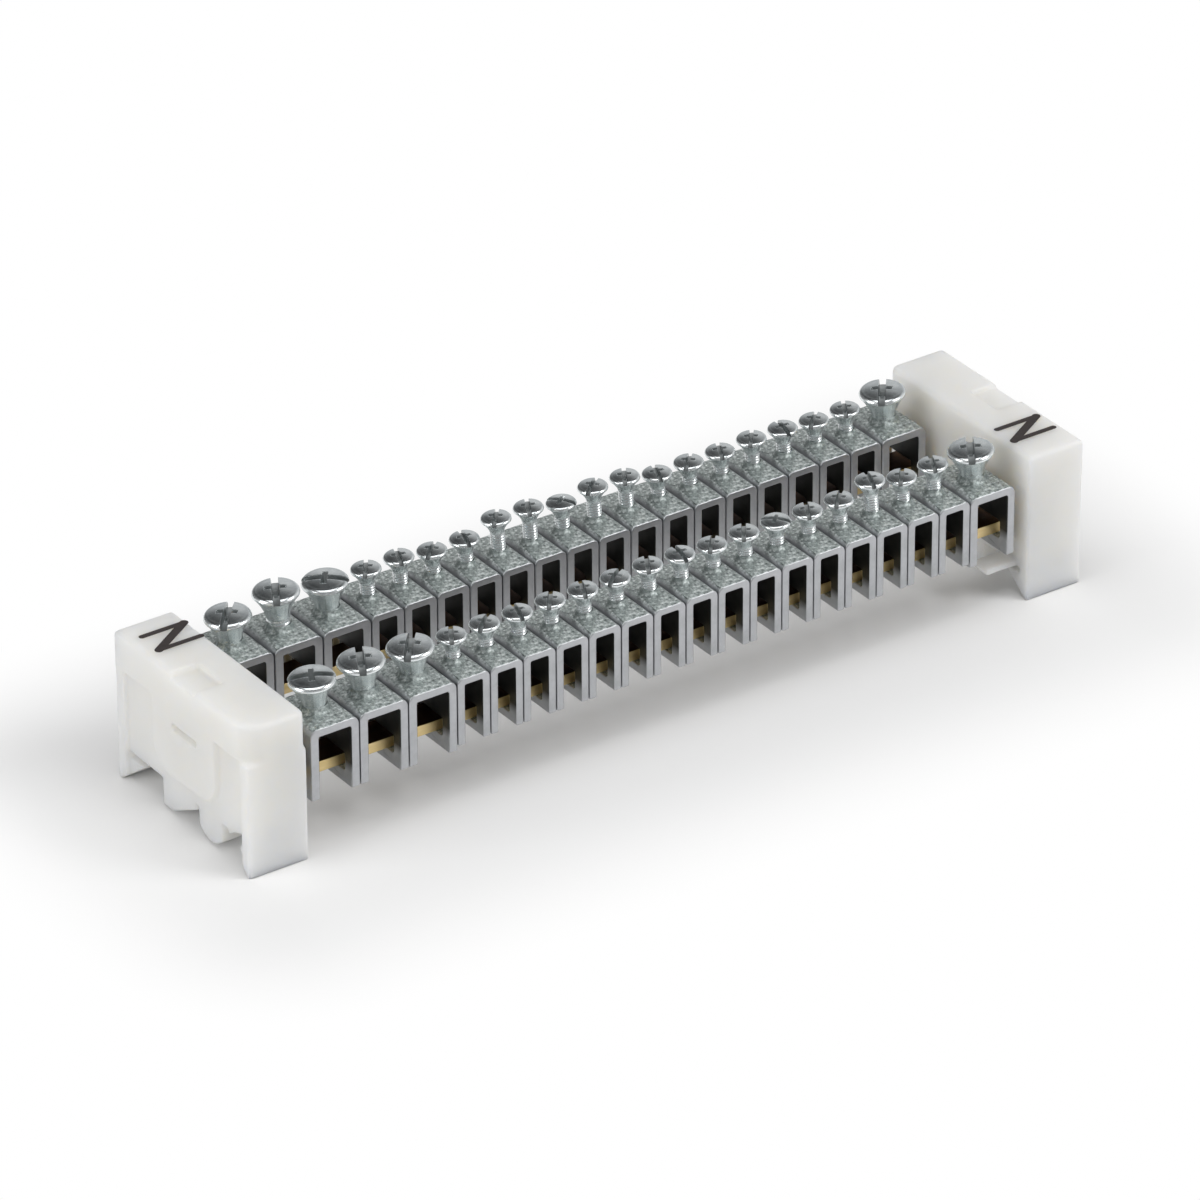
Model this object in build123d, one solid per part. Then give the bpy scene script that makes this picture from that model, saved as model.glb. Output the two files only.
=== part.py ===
from build123d import *
import os
from dataclasses import dataclass

# Terminal bar, in millimetres. X runs along the rows, the front row is on the -Y side and Z points up.
# The origin is on the surface that the brackets stand on, midway along and across the bar.

# Rail that the brackets clip over, in cross section
RAIL_WIDTH = 35.0
RAIL_MOUTH = 25.0
RAIL_FLANGE = 1.0
RAIL_PLAY = 0.2

# Clamps of one row, counted from the left end
LEFT_LARGE_COUNT = 3
SMALL_COUNT = 16
RIGHT_LARGE_COUNT = 1
ROW_Y = 12.6

# Clamp yokes, bent from strip
YOKE_DEPTH = 11.8
YOKE_TOP_Z = 22.6
YOKE_GAP = 0.2
LARGE_PITCH = 9.5
LARGE_WALL = 1.6
LARGE_FOOT_Z = 9.4
LARGE_BEND = 1.4
SMALL_PITCH = 6.5
SMALL_WALL = 1.4
SMALL_FOOT_Z = 10.1
SMALL_BEND = 1.2

# Brass bars that the yokes hang on
BAR_WIDTH = 6.0
BAR_THICKNESS = 2.0
BAR_BOTTOM_Z = 12.1
BAR_Y = 12.0
BAR_GRIP = 4.0
BAR_PLAY = 0.1

# Slots in the yokes' legs, measured from the bar that passes through them
SLOT_INNER_PLAY = 0.1
SLOT_OUTER_PLAY = 1.3
SLOT_PLAY_BELOW = 0.3
SLOT_PLAY_ABOVE = 1.0

# Clamp screws
LARGE_THREAD = 4.0
LARGE_HEAD = 8.2
LARGE_RIM = 1.5
LARGE_CONE = 3.0
LARGE_SCREW = 9.3
SMALL_THREAD = 2.6
SMALL_HEAD = 5.4
SMALL_RIM = 1.2
SMALL_CONE = 1.7
SMALL_SCREW = 8.2
SCREW_SIDES = 18
SCREW_LEAN = 4.5
BORE_SIDES = 8
BORE_PLAY = 0.12

# How far each screw head stands above its yoke, from the left end of the row
FRONT_HEADS = [6.7, 6.9, 6.3] + [5.5, 5.6, 5.5, 5.6, 5.5, 5.6, 5.9, 5.8] + [
    5.5, 5.7, 5.7, 5.6, 5.7, 7.3, 5.8, 6.2] + [6.6]
REAR_HEADS = [6.5, 8.0, 6.7] + [6.2, 6.3, 5.4, 5.5, 7.4, 7.3, 6.1, 7.1] + [
    6.9, 5.4, 5.5, 5.5, 5.9, 5.8, 5.3, 5.4] + [6.5]

# Moulded end brackets
BRACKET_DEPTH = 11.4
BRACKET_HEIGHT = 27.9
BRACKET_GAP = 1.7
HOOK_WALL = 2.4
BRACKET_WIDTH = RAIL_WIDTH + RAIL_PLAY + 2 * HOOK_WALL
SLAB_THICKNESS = 6.9
LEFT_SLAB_CORNER = 4.5
RIGHT_SLAB_CORNER = 0.9
SLAB_INNER_CORNER = 1.5
SLAB_EDGE = 0.6
FACE_RECESS = 0.8
BODY_CORNER = 0.5
BOSS_WIDTH = 19.0
BOSS_Y = -0.5
BOSS_BOTTOM_Z = 8.0
BOSS_CORNER = 5.0
NOTCH_WIDTH = 7.5
NOTCH_Y = -0.75
TOP_NOTCH_REACH = 5.5
TOP_NOTCH_DEPTH = 1.0
FACE_NOTCH_HEIGHT = 1.4
FACE_NOTCH_DEPTH = 1.5
FACE_NOTCH_Z = 17.7

# Underside of a bracket: a fixed hook and a snap hook for the rail, with two feet between them
SEAT_Z = 5.6
FOOT_FLAT = 0.8
HOOK_REACH = 4.1
BARB_REACH = 1.8
BARB_NOSE = 1.0
SNAP_ROOF_Z = 7.0
LIP_Z = 4.6
LIP_SLOPE = 1.1
LIP_WIDTH = 1.4
FOOT_Z = 0.6
KEY_FOOT_OUTER_Y = 7.5
KEY_FOOT_INNER_Y = 4.5
KEY_FOOT_RISE_Z = 4.4
SLIT_Y = -2.8
SLIT_WIDTH = 0.6
SPRING_FOOT_Y = -6.2
SPRING_FOOT_RISE_Z = 2.4
SPRING_FOOT_OUTER_Y = -10.4
SHELF_REACH = 6.3
SHELF_WIDTH = 4.5
SHELF_THICKNESS = 1.0


@dataclass(frozen=True)
class ClampSize:
    """Sizes of one kind of clamp: its yoke and its screw."""

    name: str
    pitch: float
    wall: float
    foot_z: float
    bend: float
    thread: float
    head: float
    rim: float
    cone: float
    screw: float

    @property
    def width(self):
        return self.pitch - YOKE_GAP


LARGE = ClampSize("large", LARGE_PITCH, LARGE_WALL, LARGE_FOOT_Z, LARGE_BEND,
                  LARGE_THREAD, LARGE_HEAD, LARGE_RIM, LARGE_CONE, LARGE_SCREW)
SMALL = ClampSize("small", SMALL_PITCH, SMALL_WALL, SMALL_FOOT_Z, SMALL_BEND,
                  SMALL_THREAD, SMALL_HEAD, SMALL_RIM, SMALL_CONE, SMALL_SCREW)
ROW = [LARGE] * LEFT_LARGE_COUNT + [SMALL] * SMALL_COUNT + [LARGE] * RIGHT_LARGE_COUNT
ROW_LENGTH = sum(size.pitch for size in ROW)

BRACKET_INNER_X = ROW_LENGTH / 2 + BRACKET_GAP
BRACKET_OUTER_X = BRACKET_INNER_X + BRACKET_DEPTH
SLAB_Z = BRACKET_HEIGHT - SLAB_THICKNESS
BAR_Z = BAR_BOTTOM_Z + BAR_THICKNESS / 2


def between(low, high):
    """Block from its lowest to its highest corner."""
    size = [b - a for a, b in zip(low, high)]
    middle = [(a + b) / 2 for a, b in zip(low, high)]
    return Pos(*middle) * Box(*size)


def row_centres():
    """Centre of each clamp along the row."""
    centres = []
    edge = -ROW_LENGTH / 2
    for size in ROW:
        centres.append(edge + size.pitch / 2)
        edge += size.pitch
    return centres


def yoke(size):
    """Strip bent to an open U over the bar, with a slot in each leg and a threaded hole on top.

    It is drawn for the rear row, centred on its screw.
    """
    height = YOKE_TOP_Z - size.foot_z
    outline = Pos(0, size.foot_z + height / 2) * Rectangle(size.width, height)
    outline = fillet(outline.vertices().group_by(Axis.Y)[-1], size.bend)
    inside = height - size.wall
    outline -= Pos(0, size.foot_z + inside / 2) * Rectangle(size.width - 2 * size.wall, inside)
    bent = extrude(Plane.XZ * outline, amount=YOKE_DEPTH / 2, both=True)
    slot_inner = BAR_Y - BAR_WIDTH / 2 - SLOT_INNER_PLAY - ROW_Y
    slot_outer = BAR_Y + BAR_WIDTH / 2 + SLOT_OUTER_PLAY - ROW_Y
    slot = between((-size.pitch, slot_inner, BAR_BOTTOM_Z - SLOT_PLAY_BELOW),
                   (size.pitch, slot_outer, BAR_BOTTOM_Z + BAR_THICKNESS + SLOT_PLAY_ABOVE))
    bore = RegularPolygon(size.thread / 2 + BORE_PLAY, BORE_SIDES, major_radius=False)
    bore = Pos(0, 0, YOKE_TOP_Z) * extrude(bore, amount=2 * size.wall, both=True)
    return bent - slot - bore


def screw(size):
    """Clamp screw in one piece: a drum head with a cone below it on a shank at the thread's full diameter.

    There are forty, so each has few sides. The top of the head is at Z = 0.
    """
    head = extrude(RegularPolygon(size.head / 2, SCREW_SIDES, major_radius=False), amount=-size.rim - size.cone)
    underside = head.faces().sort_by(Axis.Z)[0]
    head = chamfer(underside.edges(), (size.head - size.thread) / 2, size.cone, reference=underside)
    return head + extrude(RegularPolygon(size.thread / 2, SCREW_SIDES, major_radius=False), amount=-size.screw)


def bar():
    """Flat brass bar, held in both brackets."""
    return Box(2 * (BRACKET_INNER_X + BAR_GRIP), BAR_WIDTH, BAR_THICKNESS)


def rail_outline():
    """Section of a bracket's lower body, with the rail hooks and feet along its underside.

    The fixed hook is on the +Y side and the snap hook on the -Y side.
    """
    side = BRACKET_WIDTH / 2
    hook_z = SEAT_Z - RAIL_FLANGE - RAIL_PLAY
    groove = RAIL_WIDTH / 2 + RAIL_PLAY / 2
    hook_tip = RAIL_WIDTH / 2 - HOOK_REACH
    barb_tip = -RAIL_WIDTH / 2 + BARB_REACH
    lip = -RAIL_MOUTH / 2 + RAIL_PLAY / 2
    slit_edge = SLIT_Y - SLIT_WIDTH
    hook_side = Polyline(
        (slit_edge, SEAT_Z), (SLIT_Y, SEAT_Z), (SLIT_Y, KEY_FOOT_RISE_Z), (KEY_FOOT_INNER_Y, FOOT_Z),
        (KEY_FOOT_OUTER_Y, FOOT_Z), (KEY_FOOT_OUTER_Y, SEAT_Z), (groove, SEAT_Z), (groove, hook_z),
        (hook_tip, hook_z), (side - FOOT_FLAT, 0), (side, 0), (side, SLAB_Z), (-side, SLAB_Z), (-side, 0))
    snap_side = Polyline(
        (-side, 0), (-side + FOOT_FLAT, 0), (barb_tip, hook_z - BARB_NOSE), (barb_tip, hook_z),
        (-groove, hook_z), (-groove, SNAP_ROOF_Z), (lip - LIP_WIDTH, LIP_Z + LIP_SLOPE), (lip, LIP_Z),
        (lip + RAIL_PLAY, SEAT_Z), (SPRING_FOOT_OUTER_Y, SEAT_Z), (SPRING_FOOT_OUTER_Y, SPRING_FOOT_RISE_Z))
    spring_foot = ThreePointArc((SPRING_FOOT_OUTER_Y, SPRING_FOOT_RISE_Z), (SPRING_FOOT_Y, FOOT_Z),
                                (slit_edge, SPRING_FOOT_RISE_Z))
    slit = Line((slit_edge, SPRING_FOOT_RISE_Z), (slit_edge, SEAT_Z))
    return make_face([hook_side, snap_side, spring_foot, slit])


def bracket(slab_corner):
    """End bracket, as it stands at the left: a thick top slab on a body that clips over the rail.

    It holds both bars. Its outer face is recessed between the side walls, with a rounded boss in the middle.
    """
    inner = -BRACKET_INNER_X
    outer = -BRACKET_OUTER_X
    face = outer + FACE_RECESS
    side = BRACKET_WIDTH / 2

    body = Pos(outer, 0, 0) * extrude(Plane.YZ * rail_outline(), amount=BRACKET_DEPTH)
    outer_corners = body.edges().filter_by(Axis.Z).group_by(Axis.X)[0].group_by(Axis.Y)
    body = fillet(outer_corners[0] + outer_corners[-1], BODY_CORNER)
    recess = between((outer, -side + HOOK_WALL, 0), (face, side - HOOK_WALL, SLAB_Z))

    boss_height = SLAB_Z - BOSS_BOTTOM_Z + BOSS_CORNER
    boss = Plane.YZ.offset(outer) * Pos(BOSS_Y, BOSS_BOTTOM_Z + boss_height / 2) * RectangleRounded(
        BOSS_WIDTH, boss_height, BOSS_CORNER)
    boss = extrude(boss, amount=FACE_RECESS)
    boss = chamfer(boss.faces().sort_by(Axis.X)[0].edges(), FACE_RECESS / 2)

    plan = Pos((inner + outer) / 2, 0) * Rectangle(BRACKET_DEPTH, BRACKET_WIDTH)
    snap_corners = plan.vertices().group_by(Axis.Y)[0].sort_by(Axis.X)
    plan = fillet(snap_corners[0], slab_corner)
    plan = fillet(plan.vertices().group_by(Axis.Y)[0].sort_by(Axis.X)[-1], SLAB_INNER_CORNER)
    slab = Pos(0, 0, SLAB_Z) * extrude(plan, amount=SLAB_THICKNESS)
    slab = chamfer(slab.faces().sort_by(Axis.Z)[-1].edges(), SLAB_EDGE)

    shelf_outer_y = RAIL_WIDTH / 2 - BODY_CORNER
    shelf = between((inner, shelf_outer_y - SHELF_WIDTH, SEAT_Z),
                    (inner + SHELF_REACH, shelf_outer_y, SEAT_Z + SHELF_THICKNESS))

    notch_low = NOTCH_Y - NOTCH_WIDTH / 2
    notch_high = NOTCH_Y + NOTCH_WIDTH / 2
    top_notch = between((outer, notch_low, BRACKET_HEIGHT - TOP_NOTCH_DEPTH),
                        (outer + TOP_NOTCH_REACH, notch_high, BRACKET_HEIGHT))
    face_notch = between((outer, notch_low, FACE_NOTCH_Z - FACE_NOTCH_HEIGHT / 2),
                         (outer + FACE_NOTCH_DEPTH, notch_high, FACE_NOTCH_Z + FACE_NOTCH_HEIGHT / 2))
    solid = body - recess + boss + slab + shelf - top_notch - face_notch
    for bar_y in (-BAR_Y, BAR_Y):
        solid -= Pos(inner, bar_y, BAR_Z) * Box(
            2 * (BAR_GRIP + BAR_PLAY), BAR_WIDTH + 2 * BAR_PLAY, BAR_THICKNESS + 2 * BAR_PLAY)
    return solid


def row_nodes(row, side, heads):
    """Named pieces of one row: its bar, its yokes and its screws, on the side given by -1 or +1.

    Each screw leans a little in its thread, about the middle of the yoke's plate.
    """
    turn_round = Rot(Z=180) if side < 0 else Rot(Z=0)
    yokes = {size.name: turn_round * yoke(size) for size in (LARGE, SMALL)}
    screws = {size.name: screw(size) for size in (LARGE, SMALL)}
    groups = {size.name: [] for size in (LARGE, SMALL)}
    nodes = {f"bar_{row}": Pos(0, side * BAR_Y, BAR_Z) * bar()}
    for number, (size, x, head_height) in enumerate(zip(ROW, row_centres(), heads), start=1):
        nodes[f"yoke_{row}_{number:02d}"] = Pos(x, side * ROW_Y, 0) * yokes[size.name]
        lean = Pos(x, side * ROW_Y, YOKE_TOP_Z - size.wall / 2) * Rot(Y=-SCREW_LEAN)
        groups[size.name].append(lean * Pos(0, 0, size.wall / 2 + head_height) * screws[size.name])
    for name, group in groups.items():
        nodes[f"{name}_screws_{row}"] = Compound(children=group)
    return nodes


def terminal_bar():
    """Every piece of the terminal bar by its name."""
    nodes = {
        "bracket_left": bracket(LEFT_SLAB_CORNER),
        "bracket_right": Rot(Z=180) * bracket(RIGHT_SLAB_CORNER),
    }
    nodes.update(row_nodes("front", -1, FRONT_HEADS))
    nodes.update(row_nodes("rear", 1, REAR_HEADS))
    return nodes


os.makedirs("parts", exist_ok=True)
for node_name, shape in terminal_bar().items():
    export_step(shape, f"parts/{node_name}.step")
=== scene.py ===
from math import acos, atan2, cos, hypot, pi, radians, sin, tau

import bmesh
import bpy
from mathutils import Matrix, Vector


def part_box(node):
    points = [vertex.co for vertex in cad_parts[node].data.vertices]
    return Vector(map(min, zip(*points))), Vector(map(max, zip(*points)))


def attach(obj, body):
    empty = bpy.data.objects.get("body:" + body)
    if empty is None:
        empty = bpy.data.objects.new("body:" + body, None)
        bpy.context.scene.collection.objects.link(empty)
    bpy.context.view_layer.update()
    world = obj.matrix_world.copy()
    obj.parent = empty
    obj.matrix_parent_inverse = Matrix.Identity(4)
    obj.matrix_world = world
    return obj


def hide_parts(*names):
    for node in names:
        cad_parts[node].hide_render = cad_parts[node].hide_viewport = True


# Looks of the terminal bar, in metres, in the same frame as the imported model.
MM = 0.001
ROWS = ("front", "rear")
FIRST_SMALL, LAST_SMALL, CLAMPS = 4, 19, 20

# Material indices of the yokes and of the screws
STRIP_FACES, INNER_FACES, COLLAR_FACES = range(3)
PLATED_FACES, RECESS_FACES = range(2)

# Yokes and bars, in millimetres: rounding of the edges, sides that count as outer, and how far the point of a
# collar's flank stays from the corner of the yoke's top
YOKE_EDGE = 0.28
BAR_EDGE = 0.15
OUTER_SIDE = 1.2
FLANK_INSET = 0.35

# Heights in metres between which the yokes' inner faces turn from pale to painted shade, a near-black colour above
# the bar
BAR_TOP = (0.0122, 0.0140)

# Screws, in millimetres: radii of head and shank, rise of the dome, rounding of its edge, depth of the rim, height
# of the cone under it and the power that hollows it, length, thread, slot and cross
LARGE_SCREW = {"head": 4.05, "shank": 2.05, "dome": 0.4, "edge": 0.8, "rim": 1.4, "cone": 3.8, "hollow": 1.35,
               "length": 9.3, "thread_pitch": 0.75, "thread_depth": 0.22, "slot": 1.35, "slot_depth": 1.6,
               "cross": 1.9, "cross_width": 1.0, "cross_depth": 2.3, "sides": 56}
SMALL_SCREW = {"head": 2.65, "shank": 1.3, "dome": 0.3, "edge": 0.55, "rim": 1.0, "cone": 1.9, "hollow": 1.35,
               "length": 8.2, "thread_pitch": 0.5, "thread_depth": 0.15, "slot": 0.85, "slot_depth": 1.0,
               "cross": 1.3, "cross_width": 0.7, "cross_depth": 1.5, "sides": 40}

# Collars around them, in millimetres: radii at the bore, the lip and the foot, and height
LARGE_COLLAR = {"inner": 2.0, "lip": 2.2, "base": 2.8, "height": 1.2}
SMALL_COLLAR = {"inner": 1.28, "lip": 1.45, "base": 2.0, "height": 0.9}

# Direction of each screw's driving slot, in degrees from the rows, from the left end
FRONT_TURNS = [150, 62, 50] + [58, 40, 75, 52, 66, 35, 60, 80, 48, 55, 130, 62, 45, 70, 50, 64] + [57]
REAR_TURNS = [48, 60, 140] + [55, 68, 42, 75, 50, 62, 125, 38, 58, 70, 46, 64, 52, 80, 44, 60] + [52]

# Letters printed on the brackets: name, two opposite corners, and widths of the strokes in millimetres
MARKS = (("mark_left", (-0.0816, 0.0100), (-0.0735, 0.0152)),
         ("mark_right", (0.0741, -0.0137), (0.0824, -0.0089)))
THIN_STROKE, THICK_STROKE = 1.1, 1.5

# Floor: half its size, and where the shadow's part ends beside the object and has faded to white
FLOOR_REACH = 6.0
SHADOW_EDGES = (("X", 0.085), ("Y", 0.03))
SHADOW_FADE = 0.036

# Softboxes: name, place, size, power and the point that they face
SOFTBOXES = (("overhead", (-0.15, -0.20, 1.1), (1.0, 0.8), 5.9, (-0.05, -0.06, 0.0)),
             ("left", (-0.98, 0.12, 0.42), (0.48, 0.62), 3.9, (0, 0, 0.01)),
             ("right", (0.62, -0.70, 0.68), (0.45, 0.55), 4.2, (0, 0, 0.01)))

# Studio walls: light by height, from level to overhead, and the dark sides, each with its direction, where the
# shade starts and is full, and the share of light left there
WALL_LEVELS = ((0.0, 0.66), (0.40, 0.68), (0.62, 0.48), (0.80, 0.10))
DARK_SIDES = (((-0.565, -0.825, 0.0), 0.2, 0.8, 0.35), ((-0.296, 0.814, 0.5), 0.72, 0.90, 0.20))

# Camera, from the photograph's perspective
CAMERA_AT = (-0.72984, -1.05638, 0.75490)
CAMERA_LOOKS_AT = (-0.003285, -0.0025, 0.017216)
CAMERA_ROLL = -0.25
CAMERA_LENS = 266.8
CAMERA_SENSOR = 36

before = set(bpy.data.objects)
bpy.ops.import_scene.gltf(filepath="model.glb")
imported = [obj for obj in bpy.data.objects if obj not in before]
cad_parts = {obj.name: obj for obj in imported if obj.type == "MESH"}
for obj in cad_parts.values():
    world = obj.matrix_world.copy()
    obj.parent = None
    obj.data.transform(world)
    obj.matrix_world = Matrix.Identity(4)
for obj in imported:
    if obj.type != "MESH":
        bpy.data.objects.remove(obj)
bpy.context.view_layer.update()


# Objects and meshes

def linked_object(name, data):
    """New object in the scene."""
    made = bpy.data.objects.new(name, data)
    bpy.context.scene.collection.objects.link(made)
    return made


def ride_with_slot(name, mesh):
    """New piece of the object that rides on its one body."""
    piece = linked_object(name, mesh)
    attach(piece, "root")
    return piece


def set_materials(mesh, materials):
    """Give a mesh these materials and no others, before its faces are told apart."""
    mesh.materials.clear()
    for material in materials:
        mesh.materials.append(material)


def mesh_from(form, name):
    """Mesh with a bmesh's faces. The bmesh is freed."""
    mesh = bpy.data.meshes.new(name)
    form.to_mesh(mesh)
    form.free()
    return mesh


def baked_mesh(working, name):
    """Mesh of an object with its modifiers applied, and the object itself removed."""
    graph = bpy.context.evaluated_depsgraph_get()
    mesh = bpy.data.meshes.new_from_object(working.evaluated_get(graph), depsgraph=graph)
    mesh.name = name
    bpy.data.objects.remove(working)
    return mesh


def add_bevel(piece, width, segments, angle):
    """Rounded edges where faces meet at more than this angle in degrees, as a modifier."""
    bevel = piece.modifiers.new("edges", "BEVEL")
    bevel.width = width
    bevel.segments = segments
    bevel.limit_method = "ANGLE"
    bevel.angle_limit = radians(angle)
    return bevel


def add_soft_edges(piece, width):
    """Clean flat faces and rounded edges, as modifiers."""
    weld = piece.modifiers.new("weld", "WELD")
    weld.merge_threshold = 1e-6
    flat = piece.modifiers.new("flat faces", "DECIMATE")
    flat.decimate_type = "DISSOLVE"
    flat.angle_limit = radians(0.5)
    bevel = add_bevel(piece, width, segments=3, angle=25)
    bevel.use_clamp_overlap = False
    bevel.miter_outer = "MITER_ARC"
    bevel.harden_normals = True


def add_moulded_edges(piece):
    """Even, softly rounded surface all over, as a moulding has, as modifiers."""
    even = piece.modifiers.new("even", "REMESH")
    even.mode = "VOXEL"
    even.voxel_size = 0.22 * MM
    even.use_smooth_shade = True
    soft = piece.modifiers.new("soft", "SMOOTH")
    soft.factor = 0.6
    soft.iterations = 10
    fewer = piece.modifiers.new("fewer", "DECIMATE")
    fewer.ratio = 0.4


def clear_normals(mesh):
    """Drop the normals that came with an imported mesh, and shade it smooth."""
    if mesh.has_custom_normals:
        attribute = mesh.attributes.get("custom_normal")
        if attribute:
            mesh.attributes.remove(attribute)
    mesh.shade_smooth()


# Materials

def set_stops(ramp, stops):
    """Fill a colour ramp with (position, colour) stops."""
    while len(ramp.elements) < len(stops):
        ramp.elements.new(0.5)
    for element, (position, colour) in zip(ramp.elements, stops):
        element.position = position
        element.color = (*colour, 1.0)


class Shader:
    """A material's node tree, with short names for the nodes that the materials here use."""

    def __init__(self, name):
        self.material = bpy.data.materials.new(name)
        self.material.use_nodes = True
        self.nodes = self.material.node_tree.nodes
        self.links = self.material.node_tree.links
        self.shader = self.nodes["Principled BSDF"]
        self.place = self.nodes.new("ShaderNodeTexCoord").outputs["Object"]

    def set(self, **values):
        for name, value in values.items():
            self.shader.inputs[name.replace("_", " ")].default_value = value

    def node(self, kind, inputs, **settings):
        node = self.nodes.new(kind)
        for name, value in settings.items():
            setattr(node, name, value)
        for name, value in inputs.items():
            if isinstance(value, bpy.types.NodeSocket):
                self.links.new(value, node.inputs[name])
            else:
                node.inputs[name].default_value = value
        return node

    def noise(self, scale, detail=4.0, roughness=0.55, stretch=None):
        vector = self.place
        if stretch:
            vector = self.node("ShaderNodeMapping", {"Vector": vector, "Scale": stretch}).outputs["Vector"]
        return self.node("ShaderNodeTexNoise", {"Vector": vector, "Scale": scale, "Detail": detail,
                                                "Roughness": roughness}).outputs["Fac"]

    def span(self, value, low, high, from_low=0.3, from_high=0.7):
        return self.node("ShaderNodeMapRange", {"Value": value, "From Min": from_low, "From Max": from_high,
                                                "To Min": low, "To Max": high}).outputs["Result"]

    def math(self, operation, first, second):
        return self.node("ShaderNodeMath", {0: first, 1: second}, operation=operation).outputs["Value"]

    def blend(self, factor, first, second):
        node = self.node("ShaderNodeMix", {}, data_type="RGBA")
        for value, place in ((factor, 0), (first, 6), (second, 7)):
            self.links.new(value, node.inputs[place])
        return node.outputs[2]

    def ramp(self, value, stops):
        node = self.node("ShaderNodeValToRGB", {"Fac": value})
        set_stops(node.color_ramp, stops)
        return node.outputs["Color"]

    def bump(self, heights):
        """Chain of bumps, each given as (height, distance in metres)."""
        normal = None
        for height, distance in heights:
            inputs = {"Height": height, "Distance": distance, "Strength": 1.0}
            if normal:
                inputs["Normal"] = normal
            normal = self.node("ShaderNodeBump", inputs).outputs["Normal"]
        self.links.new(normal, self.shader.inputs["Normal"])

    def link(self, value, name):
        self.links.new(value, self.shader.inputs[name])

    def upward(self):
        """1 where the surface faces up, 0 on walls and below."""
        normal = self.node("ShaderNodeNewGeometry", {}).outputs["Normal"]
        height = self.node("ShaderNodeSeparateXYZ", {"Vector": normal}).outputs["Z"]
        return self.span(height, 0.0, 1.0, 0.55, 0.95)


def nylon():
    """Natural nylon moulding, milky and a little waxy."""
    look = Shader("nylon")
    tint = look.ramp(look.noise(55, 3.0), [(0.3, (0.755, 0.75, 0.725)), (0.7, (0.79, 0.785, 0.765))])
    look.link(tint, "Base Color")
    look.set(Subsurface_Weight=1.0, Subsurface_Radius=(1.0, 0.92, 0.78), Subsurface_Scale=0.012,
             Specular_IOR_Level=0.4, IOR=1.53)
    look.link(look.span(look.noise(350, 3.0), 0.36, 0.48), "Roughness")
    look.bump([(look.noise(140, 2.0), 0.00006), (look.noise(1600, 4.0), 0.000008)])
    return look.material


def zinc_strip():
    """Zinc-plated steel strip of the yokes: satin, with a rough, grainy top."""
    look = Shader("zinc_strip")
    top = look.upward()
    grain = look.noise(1500, 4.0, 0.7)
    mottle = look.noise(420, 4.0, 0.6)
    pale = look.ramp(mottle, [(0.3, (0.44, 0.45, 0.465)), (0.7, (0.54, 0.55, 0.57))])
    dark = look.ramp(grain, [(0.34, (0.13, 0.155, 0.15)), (0.50, (0.47, 0.52, 0.51)), (0.66, (0.92, 0.96, 0.95))])
    look.link(look.blend(top, pale, dark), "Base Color")
    look.link(look.span(top, 0.95, 0.6, 0.0, 1.0), "Metallic")
    look.link(look.span(mottle, 0.32, 0.44), "Roughness")
    streaks = look.noise(500, 3.0, 0.6, (1.0, 1.0, 0.12))
    look.bump([(streaks, 0.00003), (look.math("MULTIPLY", grain, top), 0.00032)])
    return look.material


def zinc_inside_painted_shade():
    """Inner faces of the yokes: pale below the bar, and painted shade, a near-black colour, above it."""
    look = Shader("zinc_inside_painted_shade")
    height = look.node("ShaderNodeSeparateXYZ", {"Vector": look.place}).outputs["Z"]
    shade_above_bar = look.span(height, 0.0, 1.0, *BAR_TOP)
    mottle = look.noise(420, 4.0, 0.6)
    pale = look.ramp(mottle, [(0.3, (0.38, 0.39, 0.40)), (0.7, (0.46, 0.47, 0.48))])
    # Painted shade: the inner faces above the bar, in shade inside the yoke, are given a near-black colour.
    dark = look.ramp(mottle, [(0.3, (0.035, 0.037, 0.035)), (0.7, (0.06, 0.06, 0.055))])
    look.link(look.blend(shade_above_bar, pale, dark), "Base Color")
    look.set(Metallic=0.7, Roughness=0.5)
    return look.material


def zinc_collar():
    """Zinc of the drawn collars, with finer relief than the strip's top."""
    look = Shader("zinc_collar")
    mottle = look.noise(1500, 4.0, 0.7)
    look.link(look.ramp(mottle, [(0.36, (0.22, 0.25, 0.24)), (0.52, (0.42, 0.47, 0.46)), (0.66, (0.80, 0.84, 0.83))]),
              "Base Color")
    look.set(Metallic=0.8)
    look.link(look.span(mottle, 0.36, 0.5), "Roughness")
    look.bump([(mottle, 0.00025)])
    return look.material


def zinc_screw_painted_shading():
    """Zinc plating of the screws, with light and shade painted in: the upward-facing dome darker, the rim and cone
    lighter.
    """
    look = Shader("zinc_screw_painted_shading")
    top = look.upward()
    mottle = look.noise(700, 4.0, 0.6)
    # Painted light on the rim and cone, which get a lighter colour, and painted shade on the dome, which faces up and
    # gets a darker one.
    cone = look.ramp(mottle, [(0.3, (0.72, 0.76, 0.77)), (0.7, (0.88, 0.91, 0.915))])
    dome = look.ramp(look.noise(260, 3.0, 0.6), [(0.3, (0.47, 0.51, 0.53)), (0.7, (0.74, 0.78, 0.79))])
    look.link(look.blend(top, cone, dome), "Base Color")
    look.link(look.span(top, 0.82, 1.0, 0.0, 1.0), "Metallic")
    look.link(look.span(mottle, 0.18, 0.28), "Roughness")
    look.bump([(look.noise(500, 3.0, 0.5), 0.00002)])
    return look.material


def zinc_recess_painted_shade():
    """Slot and cross of the screws, with painted shade: a darker colour than the head's, as little light gets in."""
    look = Shader("zinc_recess_painted_shade")
    # Painted shade: the recess is given a darker colour than the plating around it.
    look.link(look.ramp(look.noise(700, 4.0, 0.6), [(0.3, (0.30, 0.325, 0.33)), (0.7, (0.46, 0.485, 0.49))]),
              "Base Color")
    look.set(Metallic=0.85, Roughness=0.28)
    return look.material


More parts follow.
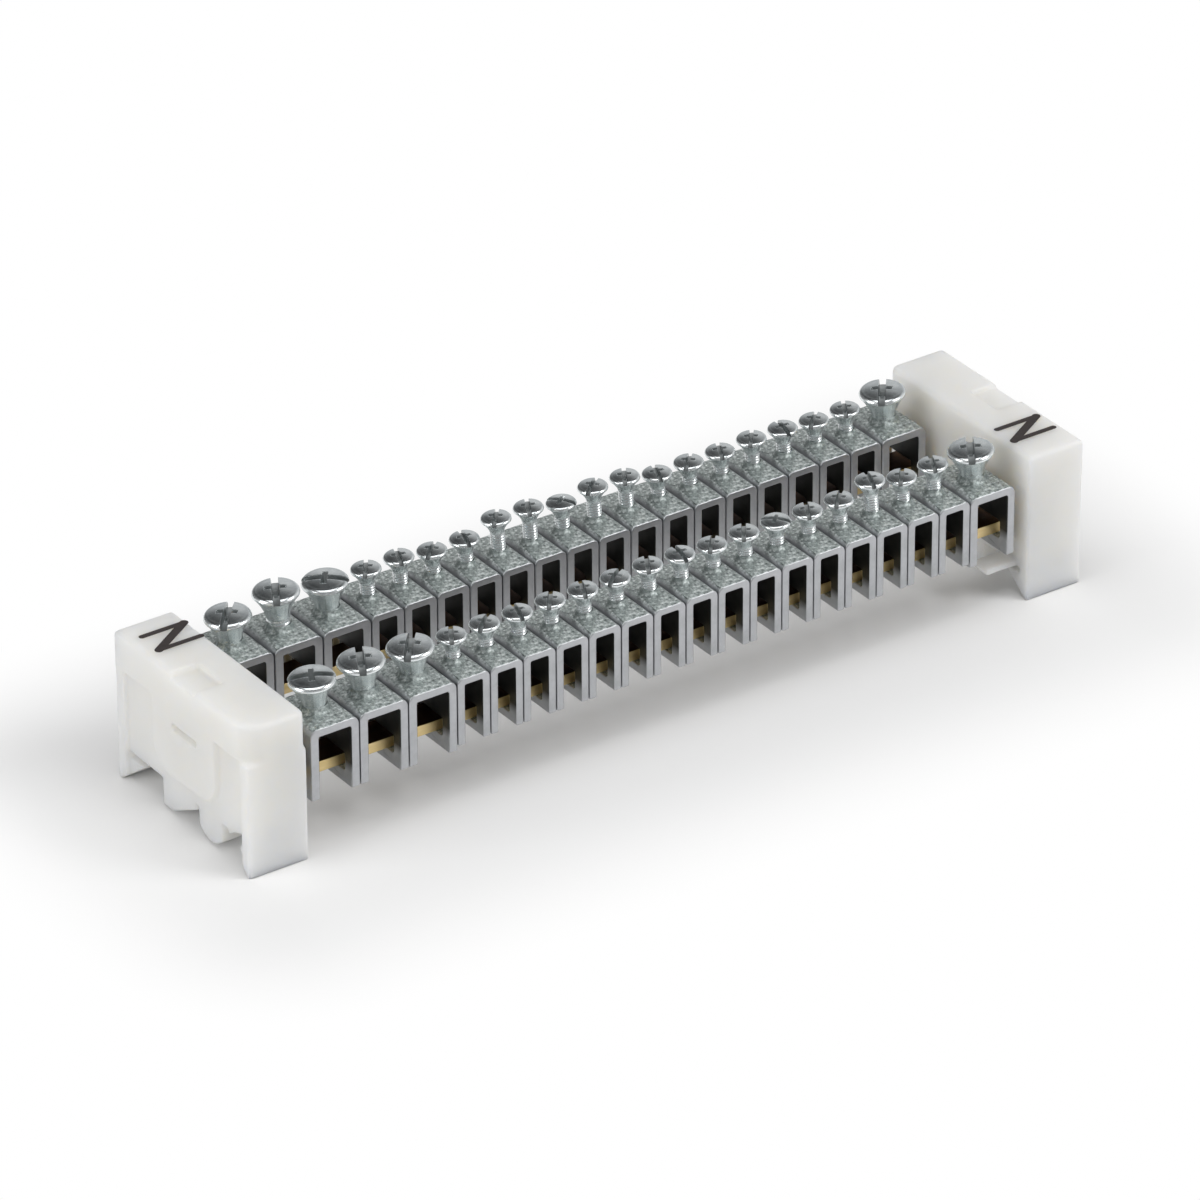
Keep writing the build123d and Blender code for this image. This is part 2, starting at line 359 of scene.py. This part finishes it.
def brass():
    """Drawn brass bar, with painted shade on its top: a near-black colour on the faces that point up."""
    look = Shader("brass")
    streaks = look.noise(500, 4.0, 0.6, (0.08, 1.0, 1.0))
    bright = look.ramp(streaks, [(0.3, (0.66, 0.50, 0.22)), (0.7, (0.84, 0.67, 0.36))])
    # Painted shade: the bar's top, in shade inside the yokes, is given a near-black colour instead of the brass
    # colour.
    shaded_top = look.ramp(streaks, [(0.3, (0.055, 0.022, 0.008)), (0.7, (0.10, 0.045, 0.016))])
    look.link(look.blend(look.upward(), bright, shaded_top), "Base Color")
    look.set(Metallic=0.9)
    look.link(look.span(streaks, 0.30, 0.44), "Roughness")
    look.bump([(streaks, 0.00003)])
    return look.material


def print_ink():
    """Near-black printed ink."""
    look = Shader("print_ink")
    look.link(look.ramp(look.noise(900, 4.0), [(0.3, (0.018, 0.012, 0.011)), (0.7, (0.032, 0.022, 0.02))]),
              "Base Color")
    look.set(Roughness=0.5)
    return look.material


def backdrop_white():
    """Pale floor that keeps the shadow near the object and fades to white away from it."""
    look = Shader("backdrop_white")
    look.set(Base_Color=(0.9, 0.9, 0.9, 1.0), Roughness=1.0, Specular_IOR_Level=0.0)
    split = look.node("ShaderNodeSeparateXYZ", {"Vector": look.place})
    past = []
    for axis, edge in SHADOW_EDGES:
        outside = look.math("SUBTRACT", look.math("ABSOLUTE", split.outputs[axis], 0.0), edge)
        past.append(look.math("POWER", look.math("MAXIMUM", outside, 0.0), 2.0))
    distance = look.math("SQRT", look.math("ADD", *past), 0.0)
    limits = {"Value": distance, "From Min": 0.0, "From Max": SHADOW_FADE, "To Min": 0.05}
    fade = look.node("ShaderNodeMapRange", limits, interpolation_type="SMOOTHSTEP").outputs["Result"]
    path = look.node("ShaderNodeLightPath", {}).outputs
    mirrored = look.math("MAXIMUM", path["Is Glossy Ray"], path["Is Transmission Ray"])
    seen = look.math("MAXIMUM", path["Is Camera Ray"], mirrored)
    white = look.node("ShaderNodeEmission", {"Color": (1, 1, 1, 1), "Strength": 1.0}).outputs["Emission"]
    mix = look.node("ShaderNodeMixShader", {"Fac": look.math("MULTIPLY", fade, seen)})
    look.links.new(look.shader.outputs["BSDF"], mix.inputs[1])
    look.links.new(white, mix.inputs[2])
    look.links.new(mix.outputs["Shader"], look.nodes["Material Output"].inputs["Surface"])
    return look.material


# Shapes

def turned_mesh(name, profile, sides, thread):
    """Surface of revolution with closed ends. The profile is (radius, height) from top to bottom.

    The thread (depth, pitch, top, bottom) is a helical groove between two heights.
    """
    depth, pitch, top, bottom = thread
    form = bmesh.new()
    rings = []
    for radius, height in profile:
        fade = min(1.0, max(0.0, (top - height) / pitch), max(0.0, (height - bottom) / pitch))
        ring = []
        for step in range(sides):
            angle = tau * step / sides
            phase = (height / pitch - step / sides) % 1.0
            r = radius - depth * fade * min(1.0, abs(2.0 * phase - 1.0) * 1.15)
            ring.append(form.verts.new((r * cos(angle), r * sin(angle), height)))
        rings.append(ring)
    for upper, lower in zip(rings, rings[1:]):
        for step in range(sides):
            after = (step + 1) % sides
            form.faces.new((upper[step], lower[step], lower[after], upper[after]))
    form.faces.new(rings[0])
    form.faces.new(list(reversed(rings[-1])))
    bmesh.ops.recalc_face_normals(form, faces=form.faces)
    return mesh_from(form, name)


def prism_object(sections):
    """Closed solid through rings of equal count, each a list of (x, y, z) in millimetres."""
    form = bmesh.new()
    rings = [[form.verts.new([v * MM for v in point]) for point in ring] for ring in sections]
    count = len(rings[0])
    for lower, upper in zip(rings, rings[1:]):
        for step in range(count):
            after = (step + 1) % count
            form.faces.new((lower[step], lower[after], upper[after], upper[step]))
    form.faces.new(rings[0])
    form.faces.new(rings[-1])
    bmesh.ops.recalc_face_normals(form, faces=form.faces)
    return linked_object("working", mesh_from(form, "cutter"))


def quarter_turn(steps):
    """Sine and cosine at equal steps through a quarter turn, its start left out."""
    turns = [pi / 2 * step / steps for step in range(1, steps + 1)]
    return [(sin(turn), cos(turn)) for turn in turns]


def dome_height(size, radius):
    """Height of a screw's dome at a radius, below its top."""
    return -size["dome"] * (radius / (size["head"] - size["edge"])) ** 2


def screw_profile(size):
    """Radii and heights of a screw from the middle of its head to its tip, and the height of its neck."""
    head, shank, dome, edge, rim = (size[name] for name in ("head", "shank", "dome", "edge", "rim"))
    shoulder, lower = head - edge, 0.3 * edge
    neck, tip = -rim - size["cone"], -size["length"]
    profile = [(radius, dome_height(size, radius)) for radius in (shoulder * step / 8 for step in range(1, 9))]
    profile += [(shoulder + edge * s, -dome - edge * (1 - c)) for s, c in quarter_turn(8)]
    profile += [(head - lower * (1 - c), -rim + lower * (1 - s)) for s, c in quarter_turn(5)]
    for along in (step / 12 for step in range(1, 13)):
        radius = shank + (head - lower - shank) * (1 - along) ** size["hollow"]
        profile.append((radius, -rim - size["cone"] * along))
    levels = round((neck - tip) / size["thread_pitch"] * 10)
    profile += [(shank, neck + (tip - neck) * step / levels) for step in range(1, levels)]
    return profile + [(shank - 0.15, tip + 0.02), (shank - 0.5, tip)], neck


def driving_slot(size):
    """Cutter for the slot across the head, a little wider at its mouth."""
    reach = size["head"] + 1
    rings = []
    for half, z in ((size["slot"] * 0.4, -size["slot_depth"]), (size["slot"] * 0.55, 1.0)):
        rings.append([(x, y, z) for x, y in ((-reach, -half), (reach, -half), (reach, half), (-reach, half))])
    return prism_object(rings)


def driving_cross(size):
    """Cutter for the tapered cross recess in the middle of the head."""
    def plus(reach, half, z):
        quarter = [(reach, -half), (reach, half), (half, half)]
        points = []
        for turn in range(4):
            c, s = cos(turn * pi / 2), sin(turn * pi / 2)
            points += [(x * c - y * s, x * s + y * c, z) for x, y in quarter]
        return points

    half = size["cross_width"] / 2
    return prism_object([plus(size["cross"] * 0.45, half * 0.6, -size["cross_depth"]),
                         plus(size["cross"], half, 0.0),
                         plus(size["cross"] * 1.4, half * 1.25, 1.0)])


def mark_recess(mesh, size):
    """Tell the faces of the slot and the cross apart: those below the dome and well within the rim."""
    for face in mesh.polygons:
        x, y, z = face.center / MM
        across = hypot(x, y)
        sunk = -size["cross_depth"] - 0.1 < z < dome_height(size, across) - 0.12
        face.material_index = RECESS_FACES if sunk and across < 0.75 * size["head"] else PLATED_FACES


def screw_mesh(name, size, materials):
    """Screw with a domed head, a slot and a cross in it, and a helical thread; the head's top is at Z = 0."""
    profile, neck = screw_profile(size)
    profile = [(r * MM, z * MM) for r, z in profile]
    thread = [v * MM for v in (size["thread_depth"], size["thread_pitch"], neck, -size["length"] + 0.1)]
    working = linked_object("working", turned_mesh(name, profile, size["sides"], thread))
    cutters = [driving_slot(size), driving_cross(size)]
    for cutter in cutters:
        cut = working.modifiers.new("cut", "BOOLEAN")
        cut.operation = "DIFFERENCE"
        cut.solver = "EXACT"
        cut.object = cutter
    mesh = baked_mesh(working, name)
    for cutter in cutters:
        bpy.data.objects.remove(cutter)
    working = linked_object("working", mesh)
    add_bevel(working, 0.035 * size["head"] * MM, segments=2, angle=40)
    mesh = baked_mesh(working, name)
    mesh.shade_smooth()
    mesh.set_sharp_from_angle(angle=radians(38))
    set_materials(mesh, materials)
    mark_recess(mesh, size)
    return mesh


def drop_outline(angle, base, corner):
    """Radius at an angle of a drop shape: a circle drawn out to a point at the corner."""
    reach = hypot(*corner)
    away = abs((angle - atan2(corner[1], corner[0]) + pi) % tau - pi)
    tangent = acos(base / reach)
    return base if away >= tangent else base / cos(tangent - away)


def collar_mesh(collar, top, corner):
    """Collar drawn up around the screw, with a smooth flank that runs out to one corner of the top."""
    inner, lip, base, height = collar["inner"], collar["lip"], collar["base"], collar["height"]
    sides, steps = 96, 9
    sunk, foot_height, crest = -0.3, 0.05, height + 0.06
    form = bmesh.new()
    loops = []
    for side in range(sides):
        angle = tau * side / sides
        foot = drop_outline(angle, base, corner)
        section = [(inner, sunk), (foot, sunk)]
        for step in range(steps + 1):
            along = step / steps
            radius = foot + (lip - foot) * sin(along * pi / 2)
            rise = (1 - cos(along * pi / 2)) ** 1.2
            section.append((radius, foot_height + (height - foot_height) * rise))
        section += [(lip - 0.08, crest), (inner, crest)]
        loops.append([form.verts.new((r * MM * cos(angle), r * MM * sin(angle), top + z * MM)) for r, z in section])
    for side in range(sides):
        here, after = loops[side], loops[(side + 1) % sides]
        for index in range(len(here)):
            following = (index + 1) % len(here)
            form.faces.new((here[index], after[index], after[following], here[following]))
    bmesh.ops.recalc_face_normals(form, faces=form.faces)
    for face in form.faces:
        face.smooth = True
        face.material_index = COLLAR_FACES
    return mesh_from(form, "collar")


def yoke_mesh(node, collar, materials):
    """Dressed yoke, centred on its screw: soft edges, a collar, and its inner faces told apart."""
    low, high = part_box(node)
    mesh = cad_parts[node].data.copy()
    mesh.transform(Matrix.Translation((-(low.x + high.x) / 2, -(low.y + high.y) / 2, 0)))
    clear_normals(mesh)
    set_materials(mesh, materials)
    working = linked_object("working", mesh)
    add_soft_edges(working, YOKE_EDGE * MM)
    bent = baked_mesh(working, "bent")
    half = (high.x - low.x) / 2
    # Faces inside the yoke that face in or down get the inner material, which has painted shade above the bar.
    for face in bent.polygons:
        inward = -face.normal.x if face.center.x > 0 else face.normal.x
        inside = abs(face.center.x) < half - OUTER_SIDE * MM
        face.material_index = INNER_FACES if inside and (inward > 0.7 or face.normal.z < -0.7) else STRIP_FACES
    corner = (-half / MM + FLANK_INSET, -(high.y - low.y) / 2 / MM + FLANK_INSET)
    form = bmesh.new()
    form.from_mesh(bent)
    form.from_mesh(collar_mesh(collar, high.z, corner))
    whole = bpy.data.meshes.new("yoke")
    set_materials(whole, materials)
    form.to_mesh(whole)
    form.free()
    return whole


def islands(mesh):
    """Parts of a mesh that hold together, each as a list of points."""
    parent = {}

    def root(key):
        while parent[key] != key:
            parent[key] = parent[parent[key]]
            key = parent[key]
        return key

    keys = [tuple(round(c, 7) for c in vertex.co) for vertex in mesh.vertices]
    for key in keys:
        parent.setdefault(key, key)
    for edge in mesh.edges:
        parent[root(keys[edge.vertices[0]])] = root(keys[edge.vertices[1]])
    groups = {}
    for key in set(keys):
        groups.setdefault(root(key), []).append(Vector(key))
    return list(groups.values())


def middle_of(points):
    return sum(points, Vector()) / len(points)


def screw_places(node):
    """Top and axis of each screw in a group node, from the left end."""
    places = []
    for points in islands(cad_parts[node].data):
        x = middle_of(points).x
        points.sort(key=lambda p: p.z)
        foot = middle_of([p for p in points if p.z < points[0].z + 0.5 * MM])
        crown = middle_of([p for p in points if p.z > points[-1].z - 0.9 * MM])
        axis = (crown - foot).normalized()
        reach = max((p - foot).dot(axis) for p in points)
        places.append((x, foot + axis * reach, axis))
    places.sort(key=lambda place: place[0])
    return [(top, axis) for _, top, axis in places]


# Pieces

def add_brackets(material):
    for node in ("bracket_left", "bracket_right"):
        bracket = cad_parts[node]
        set_materials(bracket.data, [material])
        add_moulded_edges(bracket)


def add_bars(material):
    for row in ROWS:
        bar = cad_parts[f"bar_{row}"]
        set_materials(bar.data, [material])
        add_soft_edges(bar, BAR_EDGE * MM)


def add_yokes(materials):
    for row in ROWS:
        masters = {"large": yoke_mesh(f"yoke_{row}_01", LARGE_COLLAR, materials),
                   "small": yoke_mesh(f"yoke_{row}_{FIRST_SMALL:02d}", SMALL_COLLAR, materials)}
        for number in range(1, CLAMPS + 1):
            node = f"yoke_{row}_{number:02d}"
            low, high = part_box(node)
            size = "small" if FIRST_SMALL <= number <= LAST_SMALL else "large"
            piece = ride_with_slot(f"{node}_strip", masters[size])
            piece.matrix_world = Matrix.Translation(((low.x + high.x) / 2, (low.y + high.y) / 2, 0))
            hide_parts(node)


def add_screws(materials):
    masters = {"large": screw_mesh("large_screw", LARGE_SCREW, materials),
               "small": screw_mesh("small_screw", SMALL_SCREW, materials)}
    numbers = {"large": [1, 2, 3, CLAMPS], "small": list(range(FIRST_SMALL, LAST_SMALL + 1))}
    for row, turns in zip(ROWS, (FRONT_TURNS, REAR_TURNS)):
        for size, members in numbers.items():
            node = f"{size}_screws_{row}"
            for number, (top, axis) in zip(members, screw_places(node)):
                piece = ride_with_slot(f"screw_{row}_{number:02d}", masters[size])
                lean = Vector((0, 0, 1)).rotation_difference(axis).to_matrix().to_4x4()
                turn = Matrix.Rotation(radians(turns[number - 1]), 4, "Z")
                piece.matrix_world = Matrix.Translation(top) @ lean @ turn
                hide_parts(node)


def add_mark(name, low, high, material):
    """Letter N in plain strokes between two corners, printed on a bracket's top and read along Y."""
    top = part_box("bracket_left")[1].z
    thin, thick = THIN_STROKE * MM, THICK_STROKE * MM
    strokes = ((low, (high[0], low[1]), thin), ((low[0], high[1]), high, thin), (low, high, thick))
    form = bmesh.new()
    for layer, (start, end, width) in enumerate(strokes):
        angle = atan2(end[1] - start[1], end[0] - start[0])
        points = []
        for cap, centre in enumerate((end, start)):
            for step in range(9):
                around = angle - pi / 2 + cap * pi + pi * step / 8
                points.append((centre[0] + width / 2 * cos(around), centre[1] + width / 2 * sin(around)))
        lower = [form.verts.new((x, y, top)) for x, y in points]
        upper = [form.verts.new((x, y, top + (0.012 + 0.004 * layer) * MM)) for x, y in points]
        form.faces.new(upper)
        form.faces.new(list(reversed(lower)))
        for step in range(len(points)):
            after = (step + 1) % len(points)
            form.faces.new((lower[step], lower[after], upper[after], upper[step]))
    mesh = mesh_from(form, name)
    set_materials(mesh, [material])
    ride_with_slot(name, mesh)


# Floor, light and camera

def add_floor():
    form = bmesh.new()
    corners = ((-1, -1), (1, -1), (1, 1), (-1, 1))
    form.faces.new([form.verts.new((x * FLOOR_REACH, y * FLOOR_REACH, 0)) for x, y in corners])
    mesh = mesh_from(form, "floor")
    set_materials(mesh, [backdrop_white()])
    linked_object("floor", mesh)


def add_softbox(name, place, size, power, aim):
    data = bpy.data.lights.new(name, "AREA")
    data.shape = "RECTANGLE"
    data.size, data.size_y = size
    data.energy = power
    light = linked_object(name, data)
    light.location = place
    light.rotation_mode = "QUATERNION"
    light.rotation_quaternion = (Vector(aim) - Vector(place)).to_track_quat("-Z", "Y")


def add_world():
    """Pale studio walls, darker overhead and on two sides."""
    world = bpy.data.worlds.new("studio")
    world.use_nodes = True
    bpy.context.scene.world = world
    nodes, links = world.node_tree.nodes, world.node_tree.links
    direction = nodes.new("ShaderNodeTexCoord").outputs["Generated"]
    split = nodes.new("ShaderNodeSeparateXYZ")
    links.new(direction, split.inputs["Vector"])
    ramp = nodes.new("ShaderNodeValToRGB")
    links.new(split.outputs["Z"], ramp.inputs["Fac"])
    set_stops(ramp.color_ramp, [(position, (level, level, level)) for position, level in WALL_LEVELS])
    strength = nodes.new("ShaderNodeMath")
    strength.operation = "MULTIPLY"
    for socket, (side, near, far, level) in zip(strength.inputs, DARK_SIDES):
        toward = nodes.new("ShaderNodeVectorMath")
        toward.operation = "DOT_PRODUCT"
        toward.inputs[1].default_value = side
        links.new(direction, toward.inputs[0])
        shade = nodes.new("ShaderNodeMapRange")
        for name, value in (("From Min", near), ("From Max", far), ("To Min", 1.0), ("To Max", level)):
            shade.inputs[name].default_value = value
        links.new(toward.outputs["Value"], shade.inputs["Value"])
        links.new(shade.outputs["Result"], socket)
    background = nodes["Background"]
    links.new(ramp.outputs["Color"], background.inputs["Color"])
    links.new(strength.outputs["Value"], background.inputs["Strength"])


def add_camera():
    data = bpy.data.cameras.new("camera")
    data.lens = CAMERA_LENS
    data.sensor_width = CAMERA_SENSOR
    data.clip_start, data.clip_end = 0.05, 20
    camera = linked_object("camera", data)
    aim = (Vector(CAMERA_LOOKS_AT) - Vector(CAMERA_AT)).to_track_quat("-Z", "Y")
    roll = Matrix.Rotation(radians(CAMERA_ROLL), 4, "Z")
    camera.matrix_world = Matrix.Translation(CAMERA_AT) @ aim.to_matrix().to_4x4() @ roll
    bpy.context.scene.camera = camera


bpy.context.scene.view_settings.view_transform = "Standard"
add_brackets(nylon())
add_bars(brass())
add_yokes((zinc_strip(), zinc_inside_painted_shade(), zinc_collar()))
add_screws((zinc_screw_painted_shading(), zinc_recess_painted_shade()))
ink = print_ink()
for mark, near_corner, far_corner in MARKS:
    add_mark(mark, near_corner, far_corner, ink)
add_floor()
for softbox in SOFTBOXES:
    add_softbox(*softbox)
add_world()
add_camera()
